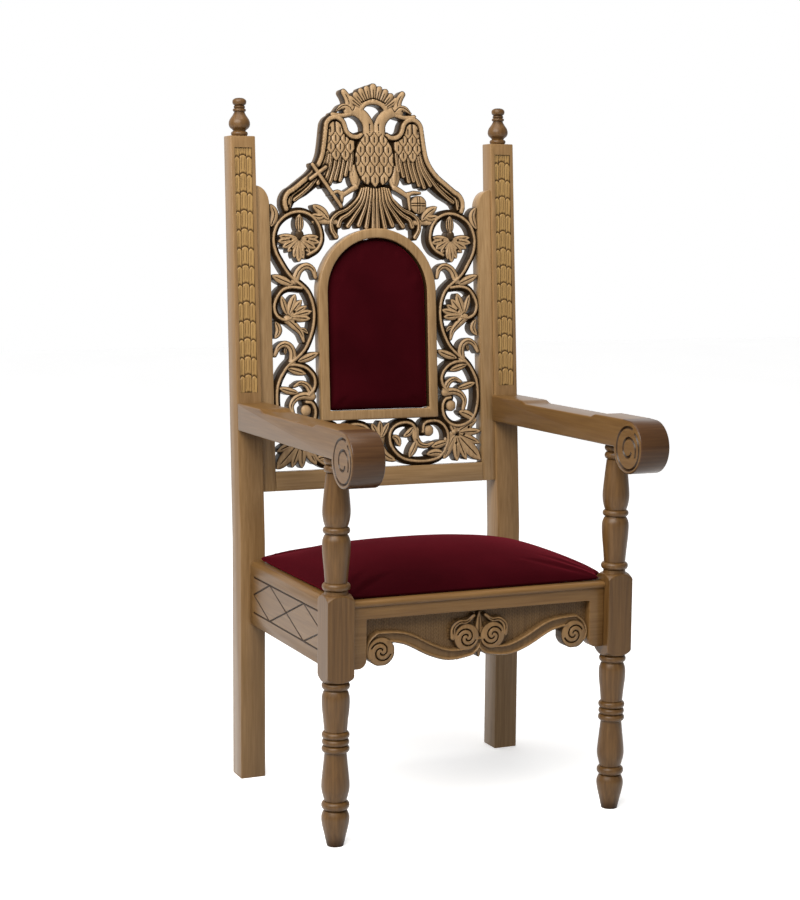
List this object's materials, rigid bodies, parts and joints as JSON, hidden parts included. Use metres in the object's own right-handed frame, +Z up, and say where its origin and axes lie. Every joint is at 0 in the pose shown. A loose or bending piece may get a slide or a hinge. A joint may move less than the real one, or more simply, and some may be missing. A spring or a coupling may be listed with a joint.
{
  "type": "church armchair",
  "caption": "Tall wooden church armchair with turned front posts, scrolled arms, velvet seat and back pad, and a pierced back carved with a double-headed eagle over vine scrolls.",
  "frame": {"origin": "middle of the chair's box on the floor", "axes": "+Z up, -Y towards the front of the chair where the sitter's feet go, +X to the right seen from the front"},
  "size_m": [0.632, 0.69, 1.4165],
  "materials": {
    "stained_wood": "satin",
    "carved_wood": "satin",
    "velvet": "matte"
  },
  "bodies": {
    "root": {"carved_back_panel": "carved_wood", "carved_apron": "carved_wood", "arch_frame": "stained_wood", "back_stile_left": "stained_wood", "back_stile_right": "stained_wood", "back_bottom_rail": "stained_wood", "rear_post_left": "stained_wood", "rear_post_right": "stained_wood", "front_post_left": "stained_wood", "front_post_right": "stained_wood", "finial_left": "stained_wood", "finial_right": "stained_wood", "arm_left": "stained_wood", "arm_right": "stained_wood", "side_rail_left": "stained_wood", "side_rail_right": "stained_wood", "front_rail": "stained_wood", "rear_rail": "stained_wood", "back_pad": "velvet", "seat_cushion": "velvet"}
  },
  "joints": []
}
